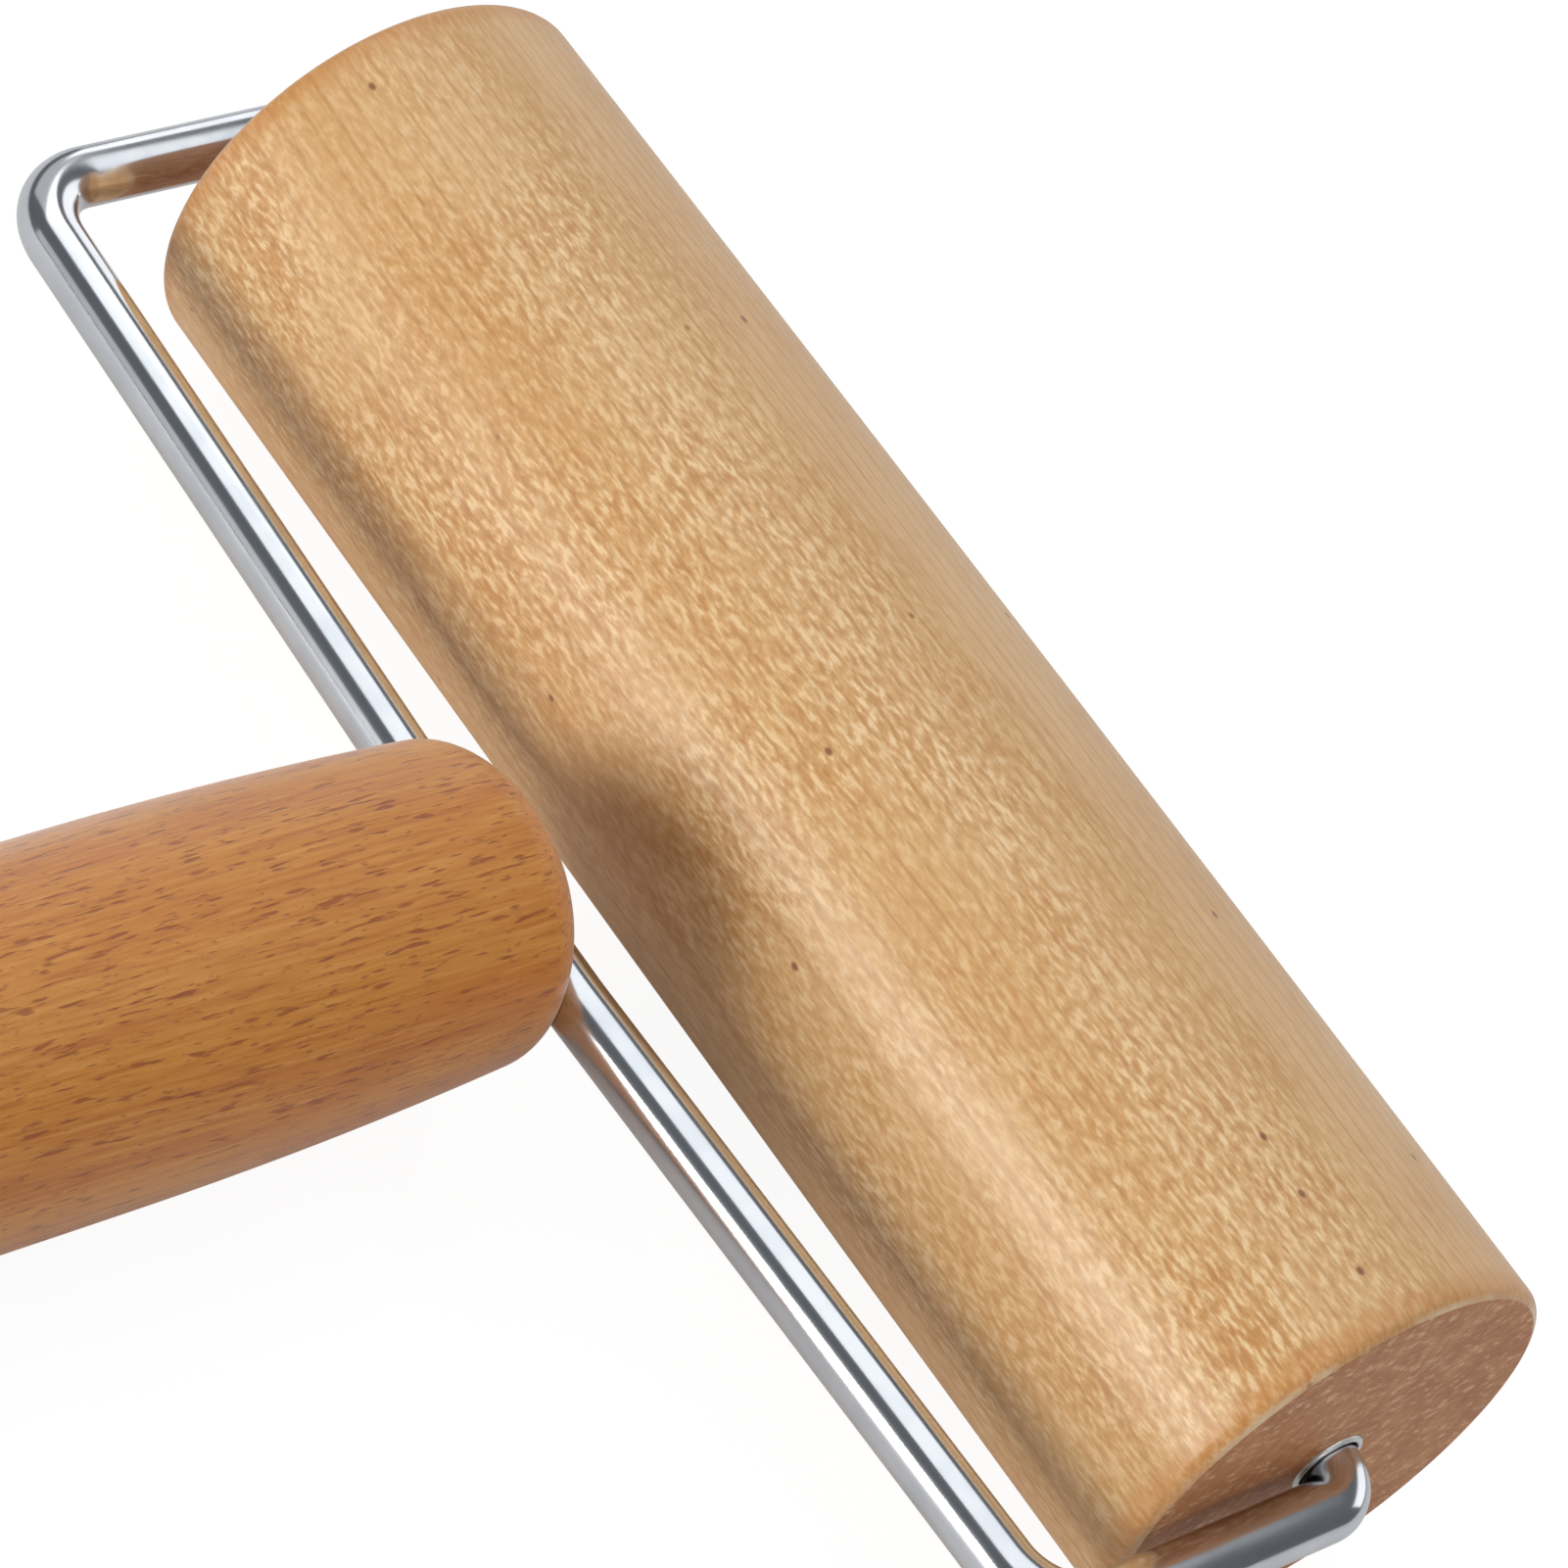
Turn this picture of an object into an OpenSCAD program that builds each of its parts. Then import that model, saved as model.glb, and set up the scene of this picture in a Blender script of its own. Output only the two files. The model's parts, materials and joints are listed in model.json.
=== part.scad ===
// Hand roller: a turned wooden roller that spins on the two ends of one bent steel wire,
// with a turned wooden handle threaded crosswise on the wire's crossbar.
// Millimetres. It lies on a table as it is put down: the roller and the handle's far end touch z = 0.
// The handle points to -Y, the roller lies across it along X, and the origin is under the middle.

/* [Roller] */
// Diameter of the wooden roller
roller_d = 32; // [26:0.5:44]
// Length of the wooden roller
roller_len = 109; // [70:1:160]
// Rounding of the roller's two end edges
roller_edge_r = 1.0; // [0.5:0.25:3]
// Depth of the blind hole in each end of the roller
axle_hole_depth = 18; // [15:0.5:30]

/* [Sleeves] */
// Wall of the metal sleeve that lines each hole
sleeve_wall = 0.5; // [0.3:0.05:1]
// Length of a sleeve
sleeve_len = 13; // [8:0.5:15]
// How far a sleeve stands out of the roller's end
sleeve_proud = 0.2; // [0:0.1:0.5]
// Radial play of the wire in a sleeve
axle_play = 0.08; // [0.02:0.01:0.1]

/* [Wire frame] */
// Diameter of the wire
wire_d = 4; // [3:0.1:5]
// Distance from the roller's left end to the middle of the wire's left arm
left_gap = 4.8; // [2.6:0.1:8]
// Distance from the roller's right end to the middle of the wire's right arm
right_gap = 2.7; // [2.6:0.1:8]
// Distance from the roller's axis to the crossbar, at the frame's corners
bar_reach = 24.6; // [24:0.1:40]
// How far the crossbar's middle stands further out than its corners
bar_set = 1.75; // [0.5:0.05:4]
// Length of the crossbar's straight middle, which the handle sits on
bar_middle = 18; // [12:1:30]
// Bend radius at the frame's corners, on the wire's centre line
corner_r = 5; // [4:0.25:8]
// Bend radius where an arm turns into the roller, on the wire's centre line
end_r = 2.6; // [2.3:0.1:2.6]
// Radius of the two slight bends that keep the handle in the middle
set_r = 30; // [10:1:60]
// Length of wire inside the roller at each end
stub_len = 12; // [6:0.5:14]

/* [Handle] */
// Length of the handle
handle_len = 110; // [80:1:150]
// Largest diameter of the handle
handle_d = 22.5; // [18:0.25:30]
// Distance from the crossbar to the handle's largest diameter
belly_at = 30; // [20:1:45]
// Radius of the side's curve from the belly towards the roller
front_curve_r = 350; // [250:1:800]
// Radius of the side's curve from the belly towards the far end
back_curve_r = 1560; // [1000:10:4000]
// Wood between the crossbar's centre line and the handle's tip
tip_reach = 3.0; // [3:0.1:8]
// Length of the rounding at the handle's tip
nose_len = 6.7; // [5:0.1:12]
// Length of the rounding at the handle's far end
butt_len = 9; // [5:0.5:14]
// Play around the crossbar in the handle's cross hole
cross_hole_play = 0.05; // [0.02:0.01:0.2]
// Diameter of the hole for hanging the roller up
hang_hole_d = 5; // [3:0.5:7]
// Distance from the hanging hole to the handle's far end
hang_hole_inset = 15; // [12:0.5:25]

/* [Hidden] */
$fn = 96;

roller_r = roller_d / 2;
half_len = roller_len / 2;
wire_r = wire_d / 2;
sleeve_in_r = wire_r + axle_play;
sleeve_out_r = sleeve_in_r + sleeve_wall;

// The frame's corners lie at y = -bar_reach, the crossbar's middle at y = -bar_y, and the roller and
// the handle in line at x = 0, a little to one side of the wire's own middle
bar_y = bar_reach + bar_set;
centre_x = (right_gap - left_gap) / 2;
function set_angle(gap) = atan2(bar_set, half_len + gap - bar_middle / 2);
function set_tangent(gap) = set_r * tan(set_angle(gap) / 2);
function middle_run(gap) = bar_middle / 2 - set_tangent(gap);
// Bending draws the wire a hair thinner, and each straight length runs a hair into the next bend
BEND_SLIM = 0.02;
LAP = 0.05;

// The handle's radius at a distance s from the crossbar, towards the far end
butt_at = handle_len - tip_reach;
nose_at = nose_len - tip_reach;
nose_power = 0.8;
butt_power = 0.5;

function bow(s, curve_r) = handle_d / 2 - curve_r + sqrt(pow(curve_r, 2) - pow(s - belly_at, 2));
function side_r(s) = bow(s, s < belly_at ? front_curve_r : back_curve_r);
// A point of a rounded end, at a fraction t of the rounding's length towards its tip
function end_point(at, len, t, power) = [at + t * len, side_r(at + t * len) * pow(max(0, 1 - t * t), power)];

END_STEPS = 14;
SIDE_STEPS = 24;
// Each point is [distance from the crossbar, radius]; the steps crowd together towards the two ends
nose_points = [for (i = [0 : END_STEPS]) end_point(nose_at, -nose_len, cos(90 * i / END_STEPS), nose_power)];
side_points = [for (i = [1 : SIDE_STEPS - 1])
    let (s = nose_at + (butt_at - butt_len - nose_at) * i / SIDE_STEPS) [s, side_r(s)]];
butt_points = [for (i = [0 : END_STEPS])
    end_point(butt_at - butt_len, butt_len, sin(90 * i / END_STEPS), butt_power)];
handle_points = concat(nose_points, side_points, butt_points);

// The frame and handle lean about the roller's axis until the first ring of the handle meets the table
lean = min([for (p = handle_points)
    asin(roller_r / norm([bar_y + p.x, p.y])) - atan2(p.y, bar_y + p.x)]);
back_y = min([for (p = handle_points) -(bar_y + p.x) * cos(lean) - p.y * sin(lean)]);
centre_y = (roller_r + back_y) / 2;

// Puts a shape drawn about the roller's axis in its place on the table
module on_table() translate([-centre_x, -centre_y, roller_r]) children();
module leaning() on_table() rotate([lean, 0, 0]) children();
module along_x() rotate([0, 90, 0]) children();

// A straight length of wire along +X, and then whatever follows it
module straight(length) {
    translate([-LAP, 0, 0]) along_x() cylinder(h = length + 2 * LAP, d = wire_d);
    translate([length, 0, 0]) children();
}

// A bend to the left that starts along +X, and then whatever follows it
module bend(r, angle) {
    translate([0, r, 0]) {
        rotate([0, 0, -90]) rotate_extrude(angle = angle)
            translate([r, 0]) circle(d = wire_d - BEND_SLIM);
        rotate([0, 0, angle]) translate([0, -r, 0]) children();
    }
}

// One side of the frame, from the end of the crossbar's straight middle to the wire's end in the roller
module half_frame(gap) {
    corner_turn = 90 - set_angle(gap);
    corner_tangent = corner_r * tan(corner_turn / 2);
    bar_length = (half_len + gap - bar_middle / 2) / cos(set_angle(gap));
    translate([middle_run(gap), -bar_y, 0])
        bend(set_r, set_angle(gap))
            straight(bar_length - set_tangent(gap) - corner_tangent)
                bend(corner_r, corner_turn)
                    straight(bar_reach - corner_tangent - end_r)
                        bend(end_r, 90)
                            straight(gap - end_r + stub_len);
}

module wire_frame() color("silver") leaning() {
    translate([-middle_run(left_gap), -bar_y, 0]) straight(middle_run(left_gap) + middle_run(right_gap));
    half_frame(right_gap);
    mirror([1, 0, 0]) half_frame(left_gap);
}

module both_sides() {
    children();
    mirror([1, 0, 0]) children();
}

// The roller's body, with a rounded edge at each end
module roller_profile() {
    straight_part = half_len - roller_edge_r;
    translate([0, -straight_part]) square([roller_r, 2 * straight_part]);
    translate([0, -half_len]) square([roller_r - roller_edge_r, roller_len]);
    for (side = [-1, 1])
        translate([roller_r - roller_edge_r, side * straight_part]) circle(r = roller_edge_r);
}

module roller() color("burlywood") on_table() difference() {
    along_x() rotate_extrude() roller_profile();
    both_sides() translate([half_len - axle_hole_depth, 0, 0])
        along_x() cylinder(h = axle_hole_depth + 1, r = sleeve_out_r);
}

module sleeve() {
    translate([half_len + sleeve_proud - sleeve_len, 0, 0]) along_x() difference() {
        cylinder(h = sleeve_len, r = sleeve_out_r);
        translate([0, 0, -1]) cylinder(h = sleeve_len + 2, r = sleeve_in_r);
    }
}

module sleeve_right() color("gainsboro") on_table() sleeve();
module sleeve_left() color("gainsboro") on_table() mirror([1, 0, 0]) sleeve();

module handle() color("peru") leaning() difference() {
    translate([0, -bar_y, 0]) rotate([90, 0, 0])
        rotate_extrude() polygon([for (p = handle_points) [p.y, p.x]]);
    translate([-handle_d / 2, -bar_y, 0])
        along_x() cylinder(h = handle_d, d = wire_d + 2 * cross_hole_play);
    translate([-handle_d / 2, -bar_y - butt_at + hang_hole_inset, 0])
        along_x() cylinder(h = handle_d, d = hang_hole_d);
}

roller();
sleeve_left();
sleeve_right();
wire_frame();
handle();
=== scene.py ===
"""The looks of a wooden hand roller: a roller, two sleeves, a bent wire frame and a turned handle."""

import json
import math

import bmesh
import bpy
from mathutils import Matrix, Vector


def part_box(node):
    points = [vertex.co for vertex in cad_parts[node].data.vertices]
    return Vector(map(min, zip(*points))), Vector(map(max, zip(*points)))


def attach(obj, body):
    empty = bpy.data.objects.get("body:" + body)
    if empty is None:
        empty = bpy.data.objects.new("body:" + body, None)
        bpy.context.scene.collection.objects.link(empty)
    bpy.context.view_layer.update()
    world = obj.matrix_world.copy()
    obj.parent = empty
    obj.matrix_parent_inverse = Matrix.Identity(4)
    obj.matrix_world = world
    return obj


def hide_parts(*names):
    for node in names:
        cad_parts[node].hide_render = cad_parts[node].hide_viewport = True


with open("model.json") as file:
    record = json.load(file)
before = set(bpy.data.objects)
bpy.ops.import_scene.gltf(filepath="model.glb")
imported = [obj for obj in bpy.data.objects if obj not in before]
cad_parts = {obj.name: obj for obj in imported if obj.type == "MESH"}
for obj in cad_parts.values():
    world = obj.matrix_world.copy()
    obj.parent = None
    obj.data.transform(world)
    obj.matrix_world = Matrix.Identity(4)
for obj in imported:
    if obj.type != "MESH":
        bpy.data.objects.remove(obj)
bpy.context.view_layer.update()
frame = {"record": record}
MM = 0.001


# ---------------------------------------------------------------------------------------------
# Sizes, in millimetres: the design's, to within 0.02, apart from the finer shapes further down.
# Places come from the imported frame.

ROLLER_EDGE_R = 1.0
AXLE_HOLE_R = 2.56
AXLE_HOLE_DEPTH = 18.0
SLEEVE_IN_R = 2.08
SLEEVE_OUT_R = 2.58
WIRE_R = 2.0
BAR_REACH = 24.6
BAR_SET = 1.75
BAR_MIDDLE = 18.0
CORNER_R = 5.0
END_R = 2.6
SET_R = 30.0
STUB_LEN = 12.0
HANDLE_R = 11.25
HANDLE_LEN = 109.98
BELLY_AT = 30.0
FRONT_CURVE_R = 350.0
BACK_CURVE_R = 1560.0
TIP_REACH = 3.0
NOSE_LEN = 6.7
NOSE_POWER = 0.8
BUTT_LEN = 9.0
BUTT_POWER = 0.5
CROSS_HOLE_R = 2.05
BAR_Y = BAR_REACH + BAR_SET

# Finer shapes that the design leaves out
ROLLER_CROWN = 0.14
HOLE_LIP = 0.12
WIRE_END_CHAMFER = 0.3

# How far a drill reaches to each side, and how close two points are that count as one
DRILL_REACH = 20.0
MERGE_DISTANCE = 0.0001

# How many flat sides a round piece is drawn with, and how sharp an edge is before it shows as one
ROLLER_SIDES = 288
HANDLE_SIDES = 224
WIRE_SIDES = 64
SMALL_SIDES = 96
CREASE_DEG = 35

roller_low, roller_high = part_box("roller")
roller_axis = (roller_low + roller_high) / 2
roller_r = (roller_high.y - roller_low.y) / 2 / MM
roller_half = (roller_high.x - roller_low.x) / 2 / MM
wire_low, wire_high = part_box("wire_frame")
left_arm = (roller_axis.x - wire_low.x) / MM - WIRE_R
right_arm = (wire_high.x - roller_axis.x) / MM - WIRE_R
hanging_hole = next(m for m in frame["record"]["mounts"] if m["name"] == "hanging_hole")
hole_centre = Vector(hanging_hole["pos_m"])
hole_r = hanging_hole["dims"]["r_mm"]
hole_from_axis = (roller_axis - hole_centre).yz
lean = math.atan2(hole_from_axis.y, hole_from_axis.x)

# From millimetres about the roller's axis, with the handle towards -Y, to metres in the part's
# frame. The wire and the handle lean about the axis until the handle's far end rests on the table.
ON_AXIS = Matrix.Translation(roller_axis) @ Matrix.Scale(MM, 4)
LEANING = ON_AXIS @ Matrix.Rotation(lean, 4, "X")


# ---------------------------------------------------------------------------------------------
# Mesh building


def new_piece(name, bm, place, body, node):
    """A smooth-shaded piece that stands for one CAD node."""
    bmesh.ops.recalc_face_normals(bm, faces=bm.faces)
    mesh = bpy.data.meshes.new(name)
    bm.to_mesh(mesh)
    bm.free()
    mesh.transform(place)
    piece = bpy.data.objects.new(name, mesh)
    bpy.context.scene.collection.objects.link(piece)
    smooth(piece)
    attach(piece, body)
    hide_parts(node)
    return piece


def smooth(piece):
    """Shades a piece smoothly and keeps its creases sharp."""
    piece.data.shade_smooth()
    piece.data.set_sharp_from_angle(angle=math.radians(CREASE_DEG))


def ring(bm, centre, across, up, r, count):
    """A circle of vertices about a centre, in the plane of two unit vectors."""
    angles = [2 * math.pi * i / count for i in range(count)]
    return [bm.verts.new(centre + r * (math.cos(t) * across + math.sin(t) * up)) for t in angles]


def skin(bm, first, second):
    """Quads between two rings of vertices, or triangles from a ring to one vertex."""
    count = max(len(first), len(second))
    for i in range(count):
        j = (i + 1) % count
        near = [first[i % len(first)], first[j % len(first)]]
        far = [second[j % len(second)], second[i % len(second)]]
        bm.faces.new(list(dict.fromkeys(near + far)))


def lathe(profile, along, count):
    """A surface of revolution. The profile's points are (distance along the axis, radius)."""
    bm = bmesh.new()
    along = Vector(along).normalized()
    across = along.orthogonal().normalized()
    up = along.cross(across)
    rings = [
        ring(bm, along * a, across, up, r, count) if r > 0 else [bm.verts.new(along * a)]
        for a, r in profile
    ]
    for first, second in zip(rings, rings[1:]):
        skin(bm, first, second)
    return bm


def arc(centre, r, start_deg, end_deg, steps):
    """Points on an arc in a profile's plane, both ends included."""
    angles = [math.radians(start_deg + (end_deg - start_deg) * i / steps) for i in range(steps + 1)]
    return [(centre[0] + r * math.cos(t), centre[1] + r * math.sin(t)) for t in angles]


def between(low, high, steps):
    """Evenly spaced values between two limits, without the limits."""
    return [low + (high - low) * i / steps for i in range(1, steps)]


def cut(piece, cutter_mesh):
    """Cuts a closed mesh out of a piece."""
    cutter = bpy.data.objects.new("cutter", cutter_mesh)
    bpy.context.scene.collection.objects.link(cutter)
    hole = piece.modifiers.new("hole", "BOOLEAN")
    hole.operation = "DIFFERENCE"
    hole.solver = "EXACT"
    hole.object = cutter
    depsgraph = bpy.context.evaluated_depsgraph_get()
    result = bpy.data.meshes.new_from_object(piece.evaluated_get(depsgraph))
    piece.modifiers.clear()
    piece.data = result
    bpy.data.objects.remove(cutter)


def drill(piece, centre, r, place):
    """Cuts a straight hole along X through a piece. The centre and radius are in millimetres."""
    rod = [(-DRILL_REACH, 0), (-DRILL_REACH, r), (DRILL_REACH, r), (DRILL_REACH, 0)]
    bm = lathe(rod, (1, 0, 0), SMALL_SIDES)
    bmesh.ops.translate(bm, vec=centre, verts=bm.verts)
    bmesh.ops.recalc_face_normals(bm, faces=bm.faces)
    mesh = bpy.data.meshes.new("drill")
    bm.to_mesh(mesh)
    bm.free()
    mesh.transform(place)
    cut(piece, mesh)


# ---------------------------------------------------------------------------------------------
# The pieces


def roller_outline():
    """Half the roller's section, from the bottom of one axle hole round to the bottom of the other."""
    straight = roller_half - ROLLER_EDGE_R
    end_r = roller_r - ROLLER_CROWN - ROLLER_EDGE_R
    hole_edge_r = AXLE_HOLE_R + HOLE_LIP
    end_radii = [hole_edge_r] + between(hole_edge_r, end_r, steps=8)
    right_end = [(roller_half, r) for r in reversed(end_radii)]
    right_hole = [
        (roller_half - HOLE_LIP, AXLE_HOLE_R),
        (roller_half - AXLE_HOLE_DEPTH, AXLE_HOLE_R),
        (roller_half - AXLE_HOLE_DEPTH, 0),
    ]
    right = arc((straight, end_r), ROLLER_EDGE_R, 90, 0, steps=10) + right_end + right_hole
    left = [(-a, r) for a, r in reversed(right)]
    along = between(-straight, straight, steps=100)
    side = [(a, roller_r - ROLLER_CROWN * (a / straight) ** 2) for a in along]
    return left + side + right


def make_roller():
    bm = lathe(roller_outline(), (1, 0, 0), ROLLER_SIDES)
    piece = new_piece("turned_roller", bm, ON_AXIS, "roller", "roller")
    piece.data.materials.append(roller_wood())
    piece.data.materials.append(end_grain())
    for face in piece.data.polygons:
        faces_end = abs(face.normal.x) > 0.95
        face.material_index = 1 if faces_end else 0


def make_sleeve(node, side):
    """A thin tube whose outer lip is rounded. The side is 1 at the right end and -1 at the left."""
    low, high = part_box(node)
    inner, outer = sorted(abs(x - roller_axis.x) / MM for x in (low.x, high.x))
    wall = SLEEVE_OUT_R - SLEEVE_IN_R
    middle_r = SLEEVE_IN_R + wall / 2
    lip = arc((outer - wall / 2, middle_r), wall / 2, 90, -90, steps=10)
    outline = [(inner, SLEEVE_OUT_R)] + lip + [(inner, SLEEVE_IN_R), (inner, SLEEVE_OUT_R)]
    bm = lathe(outline, (side, 0, 0), SMALL_SIDES)
    bmesh.ops.remove_doubles(bm, verts=bm.verts, dist=MERGE_DISTANCE)
    piece = new_piece("end_" + node, bm, ON_AXIS, "roller", node)
    piece.data.materials.append(sleeve_metal())
    piece.data.materials.append(shaded_sleeve_bore())
    # Faces inside the tube get the bore material, painted dark as shade
    for face in piece.data.polygons:
        from_axis = face.center - roller_axis
        faces_wire = face.normal.yz.dot(from_axis.yz) < 0 and abs(face.normal.x) < 0.8
        face.material_index = 1 if faces_wire else 0


def wire_path(arm_x):
    """The centre line of one half of the wire, drawn to the right, as points and headings."""
    set_angle = math.atan2(BAR_SET, arm_x - BAR_MIDDLE / 2)
    corner_turn = math.pi / 2 - set_angle
    set_tangent = SET_R * math.tan(set_angle / 2)
    corner_tangent = CORNER_R * math.tan(corner_turn / 2)
    bar_run = (arm_x - BAR_MIDDLE / 2) / math.cos(set_angle) - set_tangent - corner_tangent
    arm_run = BAR_REACH - corner_tangent - END_R
    stub_run = arm_x - END_R - (roller_half - STUB_LEN)
    at, heading = Vector((0, -BAR_Y, 0)), 0.0
    path = [(at.copy(), heading)]

    def straight(length, steps):
        nonlocal at
        for _ in range(steps):
            at = at + Vector((math.cos(heading), math.sin(heading), 0)) * (length / steps)
            path.append((at.copy(), heading))

    def bend(r, turn, steps):
        nonlocal at, heading
        for _ in range(steps):
            step = turn / steps
            chord = 2 * r * math.sin(step / 2)
            middle = heading + step / 2
            at = at + Vector((math.cos(middle), math.sin(middle), 0)) * chord
            heading += step
            path.append((at.copy(), heading))

    straight(BAR_MIDDLE / 2 - set_tangent, steps=6)
    bend(SET_R, set_angle, steps=6)
    straight(bar_run, steps=40)
    bend(CORNER_R, corner_turn, steps=28)
    straight(arm_run, steps=16)
    bend(END_R, math.pi / 2, steps=28)
    straight(stub_run, steps=14)
    return path


def make_wire():
    left_half = [(Vector((-p.x, p.y, p.z)), -h) for p, h in reversed(wire_path(left_arm)[1:])]
    path = left_half + wire_path(right_arm)
    bm = bmesh.new()
    rings = []
    for i, (point, heading) in enumerate(path):
        normal = Vector((-math.sin(heading), math.cos(heading), 0))
        r = WIRE_R - WIRE_END_CHAMFER if i in (0, len(path) - 1) else WIRE_R
        rings.append(ring(bm, point, normal, Vector((0, 0, 1)), r, WIRE_SIDES))
    for first, second in zip(rings, rings[1:]):
        skin(bm, first, second)
    bm.faces.new(rings[0])
    bm.faces.new(rings[-1])
    piece = new_piece("bent_wire_frame", bm, LEANING, "frame", "wire_frame")
    piece.data.materials.append(chrome())


def side_r(s):
    """The handle's radius at a distance s behind the crossbar, before its ends are rounded."""
    curve_r = FRONT_CURVE_R if s < BELLY_AT else BACK_CURVE_R
    return HANDLE_R - curve_r + math.sqrt(curve_r**2 - (s - BELLY_AT) ** 2)


def rounded_end(at, length, power, steps):
    """Points of a rounded end, from where it starts to its tip."""
    points = []
    for i in range(steps + 1):
        t = math.sin(math.pi / 2 * i / steps)
        s = at + t * length
        points.append((s, side_r(s) * max(0.0, 1 - t * t) ** power if i < steps else 0.0))
    return points


def make_handle():
    nose_at = NOSE_LEN - TIP_REACH
    butt_at = HANDLE_LEN - TIP_REACH - BUTT_LEN
    nose = rounded_end(nose_at, -NOSE_LEN, NOSE_POWER, steps=36)[::-1]
    side = [(s, side_r(s)) for s in between(nose_at, butt_at, steps=110)]
    butt = rounded_end(butt_at, BUTT_LEN, BUTT_POWER, steps=36)
    bm = lathe(nose + side + butt, (0, -1, 0), HANDLE_SIDES)
    bmesh.ops.translate(bm, vec=(0, -BAR_Y, 0), verts=bm.verts)
    piece = new_piece("turned_handle", bm, LEANING, "frame", "handle")
    drill(piece, (0, -BAR_Y, 0), CROSS_HOLE_R, LEANING)
    drill(piece, (0, -hole_from_axis.length / MM, 0), hole_r, LEANING)
    smooth(piece)
    piece.data.materials.clear()
    piece.data.materials.append(beech())


# ---------------------------------------------------------------------------------------------
# Materials

# Elevation that the roller's ray-figured side faces, and how its grain is turned from the axes
RAY_SIDE_DEG = 32
GRAIN_TURN = (0, math.radians(2), math.radians(-4))

# Where a mix node's share and colours go in, and where its result comes out
SHARE, FIRST, SECOND, MIXED = 0, 6, 7, 2


class Nodes:
    """Short ways to add nodes to one material."""

    def __init__(self, name):
        self.material = bpy.data.materials.new(name)
        self.material.use_nodes = True
        self.tree = self.material.node_tree
        self.shader = self.tree.nodes["Principled BSDF"]

    def add(self, kind, inputs=(), **settings):
        """A node with its settings and with some of its inputs fed."""
        node = self.tree.nodes.new(kind)
        for key, value in settings.items():
            setattr(node, key, value)
        for key, value in dict(inputs).items():
            self.feed(node.inputs[key], value)
        return node

    def feed(self, socket, value):
        """Links a socket to another node's output, or sets its value."""
        if isinstance(value, bpy.types.NodeSocket):
            self.tree.links.new(value, socket)
        else:
            socket.default_value = value

    def coordinates(self):
        return self.add("ShaderNodeTexCoord").outputs["Object"]

    def position(self, scale, turn=(0, 0, 0)):
        """Object coordinates, scaled: the numbers are repeats per millimetre."""
        inputs = {"Vector": self.coordinates(), "Rotation": turn, "Scale": [s / MM for s in scale]}
        return self.add("ShaderNodeMapping", inputs).outputs["Vector"]

    def facing(self, centre, direction):
        """How squarely a roller's side faces a direction or its opposite: 1 at most, 0 at least."""
        from_centre = self.vector_math("SUBTRACT", self.coordinates(), centre)
        across = self.vector_math("MULTIPLY", from_centre, (0, 1, 1))
        unit = self.vector_math("NORMALIZE", across)
        return self.math("ABSOLUTE", self.vector_math("DOT_PRODUCT", unit, direction))

    def from_middle(self, middle_x):
        """The distance along X from a piece's middle, in millimetres."""
        x = self.add("ShaderNodeSeparateXYZ", {"Vector": self.coordinates()}).outputs["X"]
        return self.times(self.math("ABSOLUTE", self.math("SUBTRACT", x, middle_x)), 1 / MM)

    def noise(self, vector, detail=2.0, roughness=0.5):
        inputs = {"Vector": vector, "Scale": 1.0, "Detail": detail, "Roughness": roughness}
        return self.add("ShaderNodeTexNoise", inputs).outputs["Fac"]

    def rings(self, vector):
        """Wavy bands, for the yearly rings of a piece of wood."""
        inputs = {"Vector": vector, "Scale": 1.0, "Distortion": 1.0, "Detail": 2.0}
        wave = self.add("ShaderNodeTexWave", inputs, wave_type="BANDS", bands_direction="Y")
        return wave.outputs["Fac"]

    def math(self, operation, a, b=0.0):
        node = self.add("ShaderNodeMath", operation=operation)
        self.feed(node.inputs[0], a)
        self.feed(node.inputs[1], b)
        return node.outputs[0]

    def times(self, a, b):
        return self.math("MULTIPLY", a, b)

    def vector_math(self, operation, a, b=(0, 0, 0)):
        node = self.add("ShaderNodeVectorMath", operation=operation)
        self.feed(node.inputs[0], a)
        self.feed(node.inputs[1], b)
        return node.outputs["Value" if operation == "DOT_PRODUCT" else "Vector"]

    def remap(self, value, low, high, to_low=0.0, to_high=1.0):
        """A smooth step from one value to another while the input goes from low to high."""
        inputs = {"Value": value, "From Min": low, "From Max": high, "To Min": to_low, "To Max": to_high}
        ramp = self.add("ShaderNodeMapRange", inputs, interpolation_type="SMOOTHSTEP")
        return ramp.outputs["Result"]

    def mix(self, share, a, b):
        node = self.add("ShaderNodeMix", data_type="RGBA", blend_type="MIX")
        self.feed(node.inputs[SHARE], share)
        self.feed(node.inputs[FIRST], a)
        self.feed(node.inputs[SECOND], b)
        return node.outputs[MIXED]

    def tint(self, base, share, *colour):
        """Mixes a share of a screen colour into a colour."""
        return self.mix(share, base, linear(*colour))

    def warp(self, vector, by, amount):
        """Shifts coordinates by a soft noise, so that straight features wander."""
        inputs = {"Vector": by, "Scale": 1.0, "Detail": 1.0}
        colour = self.add("ShaderNodeTexNoise", inputs).outputs["Color"]
        centred = self.vector_math("SUBTRACT", colour, (0.5, 0.5, 0.5))
        return self.vector_math("ADD", vector, self.vector_math("MULTIPLY", centred, amount))

    def spots(self, vector, r, share):
        """Soft spots at random points, with a radius in cells, in a share of the cells."""
        cells = self.add("ShaderNodeTexVoronoi", {"Vector": vector, "Scale": 1.0, "Randomness": 1.0})
        spot = self.remap(cells.outputs["Distance"], r, r * 0.35)
        chance = self.add("ShaderNodeSeparateColor", {"Color": cells.outputs["Color"]}).outputs[0]
        return self.times(spot, self.remap(chance, share, share * 0.8))

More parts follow.
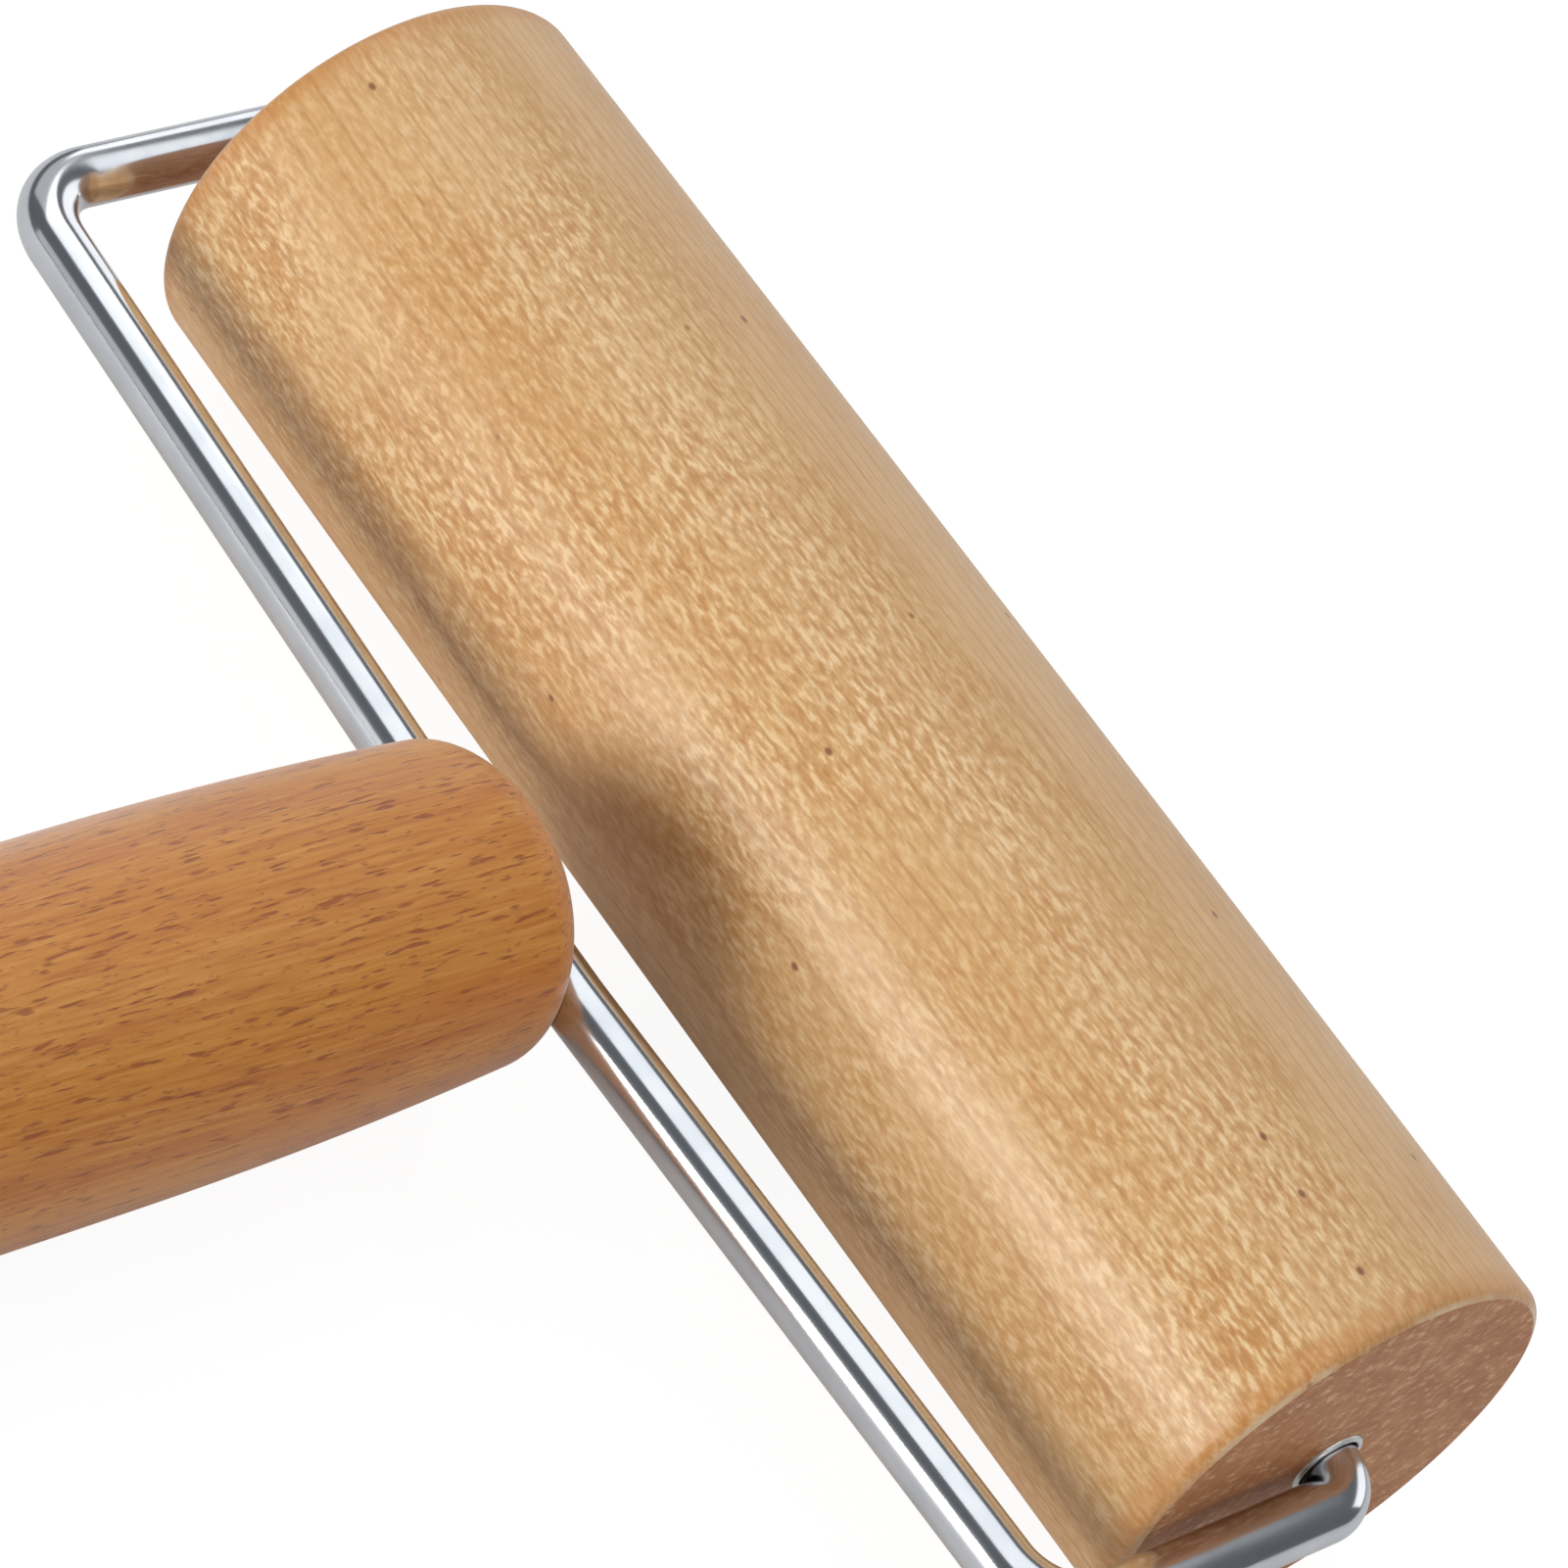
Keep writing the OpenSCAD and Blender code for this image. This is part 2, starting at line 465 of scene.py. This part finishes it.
    def bump(self, height, distance_mm):
        """Normals that raise the surface by up to a distance where the height is 1."""
        inputs = {"Height": height, "Distance": distance_mm * MM, "Strength": 1.0}
        return self.add("ShaderNodeBump", inputs).outputs["Normal"]

    def finish(self, **inputs):
        """Feeds the shader's inputs, with _ for the spaces in their names, and gives the material."""
        for key, value in inputs.items():
            self.feed(self.shader.inputs[key.replace("_", " ")], value)
        return self.material


def linear(r, g, b):
    """A colour given as 0 to 255 screen values, as the shader's linear colour."""

    def channel(c):
        c /= 255
        return c / 12.92 if c <= 0.04045 else ((c + 0.055) / 1.055) ** 2.4

    return (channel(r), channel(g), channel(b), 1.0)


def roller_wood():
    """Pale fine-grained hardwood: silky flecks where it is cut along the rays, fine lines elsewhere."""
    n = Nodes("roller_wood")
    ray_side = n.facing(roller_axis, towards(0, RAY_SIDE_DEG))
    soft = n.position((0.04, 0.1, 0.1))
    patches = n.noise(n.position((0.1, 0.2, 0.2)), detail=3.0, roughness=0.6)
    clouds = n.noise(soft, detail=2.0)

    cells_at = n.position((1.0, 3.1, 3.1), GRAIN_TURN)
    cells_at = n.warp(cells_at, n.position((0.3, 0.45, 0.45)), (0.7, 0.8, 0.8))
    cells = n.noise(cells_at, detail=2.0, roughness=0.5)
    fibres_at = n.warp(n.position((0.14, 3.6, 3.6), GRAIN_TURN), soft, (0.0, 2.0, 2.0))
    fibres = n.noise(fibres_at, detail=3.0, roughness=0.65)
    strong = n.noise(n.position((0.035, 0.06, 0.06)), detail=1.0)
    fleck_share = n.times(n.remap(ray_side, 0.3, 0.8, 0.2, 1.0), n.remap(patches, 0.3, 0.6, 0.6, 1.0))
    fleck_share = n.times(fleck_share, n.remap(strong, 0.35, 0.6, 0.6, 1.1))

    base = n.mix(n.remap(clouds, 0.3, 0.7), linear(215, 168, 111), linear(221, 178, 124))
    base = n.tint(base, n.remap(patches, 0.45, 0.75, 0.0, 0.5), 206, 150, 85)
    pale = n.times(n.remap(cells, 0.46, 0.68, 0.0, 0.9), fleck_share)
    base = n.tint(base, pale, 240, 209, 162)
    dark = n.times(n.remap(cells, 0.5, 0.32, 0.0, 0.5), fleck_share)
    base = n.tint(base, dark, 186, 126, 66)
    line_share = n.remap(ray_side, 0.8, 0.35, 0.15, 0.5)
    base = n.tint(base, n.times(n.remap(fibres, 0.52, 0.72), line_share), 186, 132, 78)
    base = n.tint(base, n.times(n.remap(fibres, 0.46, 0.3), line_share), 224, 184, 134)

    rings_at = n.position((0.004, 0.3, 0.3), GRAIN_TURN)
    rings = n.rings(n.warp(rings_at, n.position((0.02, 0.06, 0.06)), (0.0, 1.2, 1.2)))
    base = n.tint(base, n.remap(rings, 0.86, 1.0, 0.0, 0.3), 176, 120, 64)

    pores = n.spots(n.position((0.2, 0.3, 0.3)), r=0.09, share=0.35)
    base = n.tint(base, n.times(pores, 0.8), 126, 60, 24)

    from_middle = n.from_middle(roller_axis.x)
    near_edge = n.remap(from_middle, roller_half - 2.4, roller_half - 0.9, 0.0, 0.5)
    base = n.tint(base, near_edge, 200, 132, 62)
    # Pale patches on the rounded rim: a painted highlight along the edge
    at_edge = n.remap(from_middle, roller_half - 0.4, roller_half - 0.1)
    rim_highlight = n.times(at_edge, n.remap(patches, 0.35, 0.6))
    base = n.tint(base, rim_highlight, 224, 194, 156)

    height = n.math("ADD", cells, n.times(fibres, 0.4))
    return n.finish(
        Base_Color=base,
        Roughness=n.remap(cells, 0.3, 0.7, 0.5, 0.42),
        Normal=n.bump(height, 0.07),
        Coat_Weight=0.42,
        Coat_Roughness=0.32,
        Specular_IOR_Level=0.4,
        Sheen_Weight=0.15,
        Sheen_Roughness=0.5,
    )


def end_grain():
    """The roller's sawn ends: browner, with fine pores and faint curved rings."""
    n = Nodes("roller_end_grain")
    blotch = n.noise(n.position((0.3, 0.3, 0.3)), detail=3.0, roughness=0.6)
    fine = n.noise(n.position((1.2, 0.9, 1.7), (0.7, 0, 0)), detail=5.0, roughness=0.75)
    base = n.mix(n.remap(blotch, 0.3, 0.7), linear(180, 115, 68), linear(198, 137, 86))
    base = n.tint(base, n.remap(fine, 0.5, 0.68, 0.0, 0.75), 232, 192, 150)
    base = n.tint(base, n.remap(fine, 0.46, 0.28, 0.0, 0.65), 150, 92, 54)
    rings_at = n.position((0.02, 0.35, 0.08), (0.6, 0, 0))
    rings = n.rings(n.warp(rings_at, n.position((0.05, 0.05, 0.05)), (0, 2.0, 2.0)))
    base = n.tint(base, n.remap(rings, 0.75, 1.0, 0.0, 0.3), 150, 104, 74)
    pores = n.spots(n.position((1.4, 1.4, 1.4)), r=0.22, share=0.4)
    base = n.tint(base, n.times(pores, 0.5), 120, 78, 52)
    return n.finish(
        Base_Color=base,
        Roughness=0.55,
        Normal=n.bump(fine, 0.04),
        Coat_Weight=0.1,
        Coat_Roughness=0.4,
    )


def beech():
    """Varnished beech: golden to orange brown, crowded with short dark dashes along the grain."""
    n = Nodes("handle_beech")
    wander = n.position((0.5, 0.15, 0.5))
    clouds = n.noise(n.position((0.12, 0.025, 0.12)), detail=2.0)
    bands = n.noise(n.warp(n.position((0.45, 0.02, 0.45)), wander, (0.25, 0.0, 0.25)), detail=2.0)
    fibres_at = n.warp(n.position((3.4, 0.12, 3.4)), wander, (0.5, 0.0, 0.5))
    fibres = n.noise(fibres_at, detail=3.0, roughness=0.65)
    base = n.mix(n.remap(clouds, 0.35, 0.65), linear(201, 124, 42), linear(208, 138, 53))
    base = n.tint(base, n.remap(bands, 0.5, 0.72, 0.0, 0.5), 215, 149, 66)
    base = n.tint(base, n.remap(bands, 0.48, 0.3, 0.0, 0.5), 188, 107, 32)
    base = n.tint(base, n.remap(fibres, 0.5, 0.7, 0.0, 0.55), 224, 161, 82)
    base = n.tint(base, n.remap(fibres, 0.5, 0.3, 0.0, 0.6), 174, 92, 24)

    crowd = n.remap(n.noise(n.position((0.14, 0.04, 0.14)), detail=2.0), 0.3, 0.7, 0.03, -0.03)
    dash_at = n.warp(n.position((3.4, 0.42, 3.4)), n.position((0.6, 0.25, 0.6)), (0.12, 0.1, 0.12))
    dash_noise = n.noise(dash_at, detail=1.5, roughness=0.45)
    dashes = n.remap(n.math("ADD", dash_noise, crowd), 0.39, 0.27)
    short_dashes = n.remap(n.noise(n.position((4.4, 1.0, 4.4)), detail=1.0), 0.36, 0.24, 0.0, 0.7)
    bold_at = n.warp(n.position((0.95, 0.2, 0.95)), n.position((2.0, 0.5, 2.0)), (0.04, 0.1, 0.04))
    bold = n.times(n.spots(bold_at, r=0.17, share=0.55), 0.9)
    dark = n.math("MAXIMUM", n.math("MAXIMUM", dashes, short_dashes), bold)
    base = n.tint(base, n.times(dark, 0.68), 146, 58, 6)

    height = n.math("SUBTRACT", n.times(fibres, 0.7), n.times(dark, 0.9))
    return n.finish(
        Base_Color=base,
        Roughness=n.remap(fibres, 0.3, 0.7, 0.42, 0.52),
        Normal=n.bump(height, 0.05),
        Coat_Weight=0.3,
        Coat_Roughness=0.3,
        Specular_IOR_Level=0.35,
        Sheen_Weight=0.35,
        Sheen_Roughness=0.5,
    )


def chrome():
    """Bright plating over drawn wire: nearly a mirror, and slightly clouded."""
    n = Nodes("wire_chrome")
    cloud = n.noise(n.position((0.25, 0.25, 0.25)), detail=2.0)
    base = n.mix(n.remap(cloud, 0.35, 0.7), linear(224, 226, 230), linear(214, 217, 222))
    rough = n.remap(cloud, 0.3, 0.75, 0.14, 0.18)
    return n.finish(Base_Color=base, Metallic=1.0, Roughness=rough)


def sleeve_metal():
    """Pale zinc-plated tube with a dull, slightly mottled surface."""
    n = Nodes("sleeve_zinc")
    mottle = n.noise(n.position((1.5, 1.5, 1.5)), detail=3.0, roughness=0.6)
    base = n.mix(n.remap(mottle, 0.3, 0.7), linear(214, 214, 212), linear(232, 232, 230))
    rough = n.remap(mottle, 0.3, 0.7, 0.45, 0.3)
    return n.finish(Base_Color=base, Metallic=0.7, Roughness=rough, Normal=n.bump(mottle, 0.01))


def shaded_sleeve_bore():
    """The sleeve's inside, painted dark as the shade inside the bore."""
    n = Nodes("shaded_sleeve_bore")
    painted_bore_shade = n.noise(n.position((1.2, 1.2, 1.2)), detail=3.0, roughness=0.6)
    # Painted shade: dark browns that stand for the shade inside the tube
    base = n.mix(n.remap(painted_bore_shade, 0.3, 0.7), linear(58, 48, 42), linear(92, 78, 68))
    rough = n.remap(painted_bore_shade, 0.3, 0.7, 0.6, 0.45)
    return n.finish(Base_Color=base, Metallic=0.4, Roughness=rough)


# ---------------------------------------------------------------------------------------------
# Studio: floor, lights and camera, in metres

FLOOR_R = 6.0
FLOOR_DROP = 0.0001
CAMERA_AZIMUTH = 30.87
CAMERA_ELEVATION = 41.04
CAMERA_ROLL = 31.98
CAMERA_DISTANCE = 0.4189
LOOK_OFFSET = Vector((-0.0009, -0.0026, 0))
LENS_MM = 153.8
WHITE = (1, 1, 1, 1)


def grey(value):
    return (value, value, value, 1)


def towards(azimuth, elevation):
    """A unit vector at two angles in degrees. Azimuth 0 is on the handle's side, 90 on the right."""
    a, e = math.radians(azimuth), math.radians(elevation)
    return Vector((math.sin(a) * math.cos(e), -math.cos(a) * math.cos(e), math.sin(e)))


def soft_box(name, place, size, radiance, colour=(1, 1, 1)):
    """A rectangular light aimed at the roller. It shows in reflections but not to the camera."""
    azimuth, elevation, distance = place
    width, height = size
    direction = towards(azimuth, elevation)
    data = bpy.data.lights.new(name, "AREA")
    data.shape = "RECTANGLE"
    data.size, data.size_y = width, height
    data.energy = radiance * math.pi * width * height
    data.color = colour
    light = bpy.data.objects.new(name, data)
    light.location = roller_axis + direction * distance
    light.rotation_euler = direction.to_track_quat("Z", "Y").to_euler()
    light.visible_camera = False
    bpy.context.scene.collection.objects.link(light)


def camera_sees(tree, direct, indirect):
    """One shader for what the camera sees directly, and another for reflections and bounces."""
    path = tree.nodes.new("ShaderNodeLightPath")
    mix = tree.nodes.new("ShaderNodeMixShader")
    tree.links.new(path.outputs["Is Camera Ray"], mix.inputs[0])
    tree.links.new(indirect, mix.inputs[1])
    tree.links.new(direct, mix.inputs[2])
    return mix.outputs[0]


def floor_material():
    """Glows almost white to the camera, so that shadows stay light, and is a pale table otherwise."""
    n = Nodes("pale_floor")
    n.finish(Base_Color=grey(0.76), Roughness=0.9, Emission_Color=WHITE, Emission_Strength=0.02)
    glow = n.add("ShaderNodeEmission", {"Color": WHITE, "Strength": 0.94}).outputs[0]
    matt = n.add("ShaderNodeBsdfDiffuse", {"Color": grey(0.12)}).outputs[0]
    both = n.add("ShaderNodeAddShader")
    n.feed(both.inputs[0], glow)
    n.feed(both.inputs[1], matt)
    result = camera_sees(n.tree, both.outputs[0], n.shader.outputs[0])
    n.feed(n.tree.nodes["Material Output"].inputs["Surface"], result)
    return n.material


def make_floor():
    """A wide disc just under the object."""
    bm = bmesh.new()
    bmesh.ops.create_circle(bm, cap_ends=True, segments=SMALL_SIDES, radius=FLOOR_R)
    mesh = bpy.data.meshes.new("studio_floor")
    bm.to_mesh(mesh)
    bm.free()
    floor = bpy.data.objects.new("studio_floor", mesh)
    floor.location.z = -FLOOR_DROP
    bpy.context.scene.collection.objects.link(floor)
    mesh.materials.append(floor_material())


def make_world():
    """White to the camera, and dim and slightly blue for everything else."""
    world = bpy.data.worlds.new("studio")
    bpy.context.scene.world = world
    world.use_nodes = True
    tree = world.node_tree
    dim = tree.nodes["Background"]
    dim.inputs["Color"].default_value = (0.9, 0.95, 1.0, 1)
    dim.inputs["Strength"].default_value = 0.16
    white = tree.nodes.new("ShaderNodeBackground")
    white.inputs["Color"].default_value = WHITE
    white.inputs["Strength"].default_value = 1.05
    result = camera_sees(tree, white.outputs[0], dim.outputs[0])
    tree.links.new(result, tree.nodes["World Output"].inputs["Surface"])


def make_camera():
    data = bpy.data.cameras.new("camera")
    data.sensor_width = 36
    data.lens = LENS_MM
    data.clip_start, data.clip_end = 0.01, 50
    camera = bpy.data.objects.new("camera", data)
    look_at = roller_axis + LOOK_OFFSET
    direction = towards(CAMERA_AZIMUTH, CAMERA_ELEVATION)
    level = Vector((0, 0, 1)).cross(direction).normalized()
    upright = direction.cross(level)
    turn = Matrix((level, upright, direction)).transposed().to_4x4()
    roll = Matrix.Rotation(math.radians(CAMERA_ROLL), 4, "Z")
    camera.matrix_world = Matrix.Translation(look_at + direction * CAMERA_DISTANCE) @ turn @ roll
    bpy.context.scene.collection.objects.link(camera)
    bpy.context.scene.camera = camera


def make_lights():
    """Each has a place (azimuth, elevation, distance), a size (width, height) and a brightness."""
    soft_box("key", (-12, 10, 0.5), (0.18, 0.2), 11.4, (1.0, 0.98, 0.95))
    soft_box("front_fill", (-17, 10.5, 0.6), (0.6, 0.19), 0.4)
    soft_box("overhead", (180, 87, 0.5), (1.1, 0.58), 1.1, (0.97, 0.99, 1.0))
    soft_box("back_fill", (-165, 20, 0.8), (1.6, 0.45), 1.1)
    soft_box("right_fill", (80, 14, 0.9), (0.7, 0.43), 1.35)
    soft_box("left_fill", (-100, 35, 0.9), (0.7, 0.7), 0.4)


def set_view():
    view = bpy.context.scene.view_settings
    view.view_transform = "Standard"
    view.exposure, view.gamma = -0.01, 0.94


make_camera()
make_world()
make_floor()
make_lights()
make_roller()
make_sleeve("sleeve_left", -1)
make_sleeve("sleeve_right", 1)
make_wire()
make_handle()
set_view()
